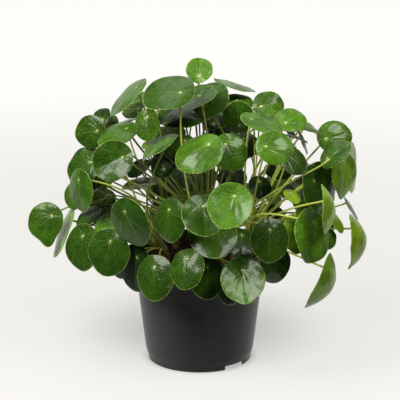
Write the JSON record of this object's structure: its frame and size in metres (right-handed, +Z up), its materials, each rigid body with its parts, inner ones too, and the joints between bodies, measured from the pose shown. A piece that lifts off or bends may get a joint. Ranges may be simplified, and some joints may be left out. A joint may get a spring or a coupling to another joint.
{
  "type": "potted chinese money plant",
  "caption": "A bushy house plant with round glossy leaves on long leaf stalks, growing from short woody stems in soil in a plain black plastic nursery pot.",
  "frame": {"origin": "on the surface that the pot stands on, under the middle of the whole plant's box; the pot's axis is 6 mm to +X and 3 mm to +Y of it", "axes": "+Z up, along the pot's axis; -Y toward the side that the picture shows; +X to that view's right, the plant's widest way"},
  "size_m": [0.4668, 0.411, 0.4314],
  "materials": {
    "pot_plastic": "satin",
    "potting_soil": "matte",
    "leaf": "satin",
    "leaf_stalk": "satin",
    "woody_stem": "matte"
  },
  "bodies": {
    "root": {"pot": "pot_plastic", "soil": "potting_soil", "leafy_stem_middle": "leaf", "leafy_stem_right": "leaf", "leafy_stem_front": "leaf", "leafy_stem_left": "leaf", "leafy_stem_back_left": "leaf", "leafy_stem_back_right": "leaf"}
  },
  "joints": []
}
